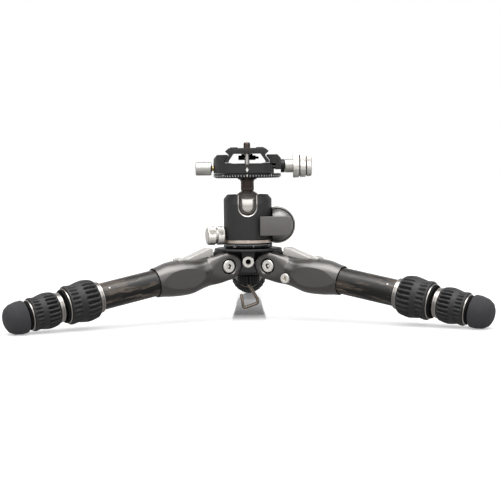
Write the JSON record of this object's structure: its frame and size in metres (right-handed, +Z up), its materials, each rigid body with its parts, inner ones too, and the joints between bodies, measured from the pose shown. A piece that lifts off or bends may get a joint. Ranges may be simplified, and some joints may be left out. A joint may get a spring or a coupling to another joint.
{
  "type": "low-angle tripod with ball head",
  "caption": "Low-angle tripod with spread telescopic carbon legs, twist locks, a ball head, a panning clamp and a bare camera plate.",
  "frame": {"origin": "on the floor under the middle of the whole footprint", "axes": "+Z up, +Y from the two front legs to the rear leg, +X to the clamp knob"},
  "size_m": [0.3936, 0.344, 0.1522],
  "materials": {
    "casting_grey": "warm dark grey satin coat",
    "body_charcoal": "fine-grain dark anodise",
    "scale_black": "black anodise",
    "carbon": "marbled carbon under clear coat",
    "grip_rubber": "grained black rubber",
    "foot_rubber": "smooth dark grey rubber",
    "satin_silver": "bead-blasted silver anodise",
    "machined_ring": "turned bright ring",
    "steel": "bright stainless",
    "ball_chrome": "polished warm smoke finish",
    "stem_gunmetal": "turned gunmetal",
    "bronze_ring": "satin champagne anodise",
    "hook_nickel": "warm nickel wire",
    "lock_grey": "satin grey anodise",
    "brass": "plain brass",
    "pad_rubber": "fine ribbed rubber"
  },
  "bodies": {
    "hub": {"hub_spider": "body_charcoal", "accessory_port": "steel", "hook_base": "scale_black", "degree_ring": "scale_black", "pan_stud": "steel"},
    "hook": {"hook": "hook_nickel"},
    "front_left_leg": {"front_left_casting": "casting_grey", "front_left_pivot_screw": "steel", "front_left_upper_tube": "carbon"},
    "front_left_tab": {"front_left_angle_tab": "satin_silver"},
    "front_left_upper_lock": {"front_left_upper_lock_sleeve": "machined_ring", "front_left_upper_lock_grip": "grip_rubber"},
    "front_left_middle": {"front_left_middle_tube": "carbon"},
    "front_left_lower_lock": {"front_left_lower_lock_sleeve": "machined_ring", "front_left_lower_lock_grip": "grip_rubber"},
    "front_left_lower": {"front_left_lower_tube": "carbon", "front_left_foot": "foot_rubber"},
    "front_right_leg": {"front_right_casting": "casting_grey", "front_right_pivot_screw": "steel", "front_right_upper_tube": "carbon", "leg_port_insert": "steel"},
    "front_right_tab": {"front_right_angle_tab": "satin_silver"},
    "front_right_upper_lock": {"front_right_upper_lock_sleeve": "machined_ring", "front_right_upper_lock_grip": "grip_rubber"},
    "front_right_middle": {"front_right_middle_tube": "carbon"},
    "front_right_lower_lock": {"front_right_lower_lock_sleeve": "machined_ring", "front_right_lower_lock_grip": "grip_rubber"},
    "front_right_lower": {"front_right_lower_tube": "carbon", "front_right_foot": "foot_rubber"},
    "rear_leg": {"rear_casting": "casting_grey", "rear_pivot_screw": "steel", "rear_upper_tube": "carbon"},
    "rear_tab": {"rear_angle_tab": "satin_silver"},
    "rear_upper_lock": {"rear_upper_lock_sleeve": "machined_ring", "rear_upper_lock_grip": "grip_rubber"},
    "rear_middle": {"rear_middle_tube": "carbon"},
    "rear_lower_lock": {"rear_lower_lock_sleeve": "machined_ring", "rear_lower_lock_grip": "grip_rubber"},
    "rear_lower": {"rear_lower_tube": "carbon", "rear_foot": "foot_rubber"},
    "head": {"head_body": "body_charcoal", "index_ring": "bronze_ring", "ball_cup": "brass", "lock_housing": "lock_grey"},
    "lock_lever": {"lock_lever": "lock_grey"},
    "pan_knob": {"pan_knob": "satin_silver"},
    "ball": {"ball": "ball_chrome"},
    "stem": {"stem": "stem_gunmetal", "clamp_disc": "scale_black"},
    "clamp": {"clamp_body": "body_charcoal"},
    "clamp_pan_knob": {"clamp_pan_knob": "satin_silver"},
    "jaw": {"clamp_jaw": "body_charcoal"},
    "clamp_knob": {"clamp_knob": "satin_silver"},
    "plate": {"camera_plate": "body_charcoal", "plate_pad_left": "pad_rubber", "plate_pad_right": "pad_rubber", "stop_pin_front": "steel", "stop_pin_rear": "steel"},
    "camera_screw": {"camera_screw": "steel", "fold_ring": "scale_black"}
  },
  "joints": [
    {"name": "hook_swivel", "type": "hinge", "parent": "hub", "child": "hook", "pos_m": [0, -0.05253, 0.03147], "axis": [0, 0, 1], "continuous": true},
    {"name": "front_left_fold", "type": "hinge", "parent": "hub", "child": "front_left_leg", "pos_m": [-0.02252, -0.06553, 0.04582], "axis": [0.5, -0.866, 0], "range_deg": [0, 78]},
    {"name": "front_left_tab_lift", "type": "hinge", "parent": "front_left_leg", "child": "front_left_tab", "pos_m": [-0.05383, -0.0836, 0.05227], "axis": [0.5, -0.866, 0], "range_deg": [0, 15], "stiffness_Nm_per_rad": 0.02, "springref_deg": -8.59},
    {"name": "front_left_upper_lock_turn", "type": "hinge", "parent": "front_left_leg", "child": "front_left_upper_lock", "pos_m": [-0.13682, -0.13152, 0.02267], "axis": [-0.853, -0.4925, -0.1728], "range_deg": [0, 90]},
    {"name": "front_left_middle_slide", "type": "slide", "parent": "front_left_leg", "child": "front_left_middle", "axis": [-0.853, -0.4925, -0.1728], "range_m": [0, 0.06]},
    {"name": "front_left_lower_lock_turn", "type": "hinge", "parent": "front_left_middle", "child": "front_left_lower_lock", "pos_m": [-0.16412, -0.14728, 0.01714], "axis": [-0.853, -0.4925, -0.1728], "range_deg": [0, 90]},
    {"name": "front_left_lower_slide", "type": "slide", "parent": "front_left_middle", "child": "front_left_lower", "axis": [-0.853, -0.4925, -0.1728], "range_m": [0, 0.08]},
    {"name": "front_right_fold", "type": "hinge", "parent": "hub", "child": "front_right_leg", "pos_m": [0.02252, -0.06553, 0.04582], "axis": [0.5, 0.866, 0], "range_deg": [0, 78]},
    {"name": "front_right_tab_lift", "type": "hinge", "parent": "front_right_leg", "child": "front_right_tab", "pos_m": [0.05383, -0.0836, 0.05227], "axis": [0.5, 0.866, 0], "range_deg": [0, 15], "stiffness_Nm_per_rad": 0.02, "springref_deg": -8.59},
    {"name": "front_right_upper_lock_turn", "type": "hinge", "parent": "front_right_leg", "child": "front_right_upper_lock", "pos_m": [0.13682, -0.13152, 0.02267], "axis": [0.853, -0.4925, -0.1728], "range_deg": [0, 90]},
    {"name": "front_right_middle_slide", "type": "slide", "parent": "front_right_leg", "child": "front_right_middle", "axis": [0.853, -0.4925, -0.1728], "range_m": [0, 0.06]},
    {"name": "front_right_lower_lock_turn", "type": "hinge", "parent": "front_right_middle", "child": "front_right_lower_lock", "pos_m": [0.16412, -0.14728, 0.01714], "axis": [0.853, -0.4925, -0.1728], "range_deg": [0, 90]},
    {"name": "front_right_lower_slide", "type": "slide", "parent": "front_right_middle", "child": "front_right_lower", "axis": [0.853, -0.4925, -0.1728], "range_m": [0, 0.08]},
    {"name": "rear_fold", "type": "hinge", "parent": "hub", "child": "rear_leg", "pos_m": [0, -0.02653, 0.04582], "axis": [-1, 0, 0], "range_deg": [0, 78]},
    {"name": "rear_tab_lift", "type": "hinge", "parent": "rear_leg", "child": "rear_tab", "pos_m": [0, 0.00963, 0.05227], "axis": [-1, 0, 0], "range_deg": [0, 15], "stiffness_Nm_per_rad": 0.02, "springref_deg": -8.59},
    {"name": "rear_upper_lock_turn", "type": "hinge", "parent": "rear_leg", "child": "rear_upper_lock", "pos_m": [0, 0.10546, 0.02267], "axis": [0, 0.985, -0.1728], "range_deg": [0, 90]},
    {"name": "rear_middle_slide", "type": "slide", "parent": "rear_leg", "child": "rear_middle", "axis": [0, 0.985, -0.1728], "range_m": [0, 0.06]},
    {"name": "rear_lower_lock_turn", "type": "hinge", "parent": "rear_middle", "child": "rear_lower_lock", "pos_m": [0, 0.13698, 0.01714], "axis": [0, 0.985, -0.1728], "range_deg": [0, 90]},
    {"name": "rear_lower_slide", "type": "slide", "parent": "rear_middle", "child": "rear_lower", "axis": [0, 0.985, -0.1728], "range_m": [0, 0.08]},
    {"name": "head_pan", "type": "hinge", "parent": "hub", "child": "head", "pos_m": [0, -0.05253, 0.06467], "axis": [0, 0, 1], "continuous": true},
    {"name": "pan_knob_turn", "type": "hinge", "parent": "head", "child": "pan_knob", "pos_m": [-0.02814, -0.05954, 0.07157], "axis": [-0.9703, -0.2419, 0], "range_deg": [0, 270]},
    {"name": "lock_lever_turn", "type": "hinge", "parent": "head", "child": "lock_lever", "pos_m": [0.0255, -0.07253, 0.08007], "axis": [0, -1, 0], "range_deg": [0, 100]},
    {"name": "ball_side_tilt", "type": "hinge", "parent": "head", "child": "ball", "pos_m": [0, -0.05253, 0.09637], "axis": [0, 1, 0], "range_deg": [-23, 23]},
    {"name": "ball_front_tilt", "type": "hinge", "parent": "ball", "child": "stem", "pos_m": [0, -0.05253, 0.09637], "axis": [1, 0, 0], "range_deg": [-23, 90]},
    {"name": "clamp_pan", "type": "hinge", "parent": "stem", "child": "clamp", "pos_m": [0, -0.05253, 0.12517], "axis": [0, 0, 1], "continuous": true},
    {"name": "clamp_pan_knob_turn", "type": "hinge", "parent": "clamp", "child": "clamp_pan_knob", "pos_m": [-0.038, -0.05253, 0.12967], "axis": [-1, 0, 0], "range_deg": [0, 270]},
    {"name": "jaw_slide", "type": "slide", "parent": "clamp", "child": "jaw", "axis": [1, 0, 0], "range_m": [0, 0.004]},
    {"name": "clamp_knob_turn", "type": "hinge", "parent": "jaw", "child": "clamp_knob", "pos_m": [0.045, -0.05253, 0.13147], "axis": [1, 0, 0], "range_deg": [0, 1440]},
    {"name": "plate_slide", "type": "slide", "parent": "clamp", "child": "plate", "axis": [0, 1, 0], "range_m": [-0.0075, 0.0075]},
    {"name": "camera_screw_turn", "type": "hinge", "parent": "plate", "child": "camera_screw", "pos_m": [0, -0.05253, 0.14347], "axis": [0, 0, 1], "continuous": true}
  ],
  "couplings": [
    {"joint": "clamp_knob_turn", "follows": "jaw_slide", "rad_per_m": 6283}
  ]
}
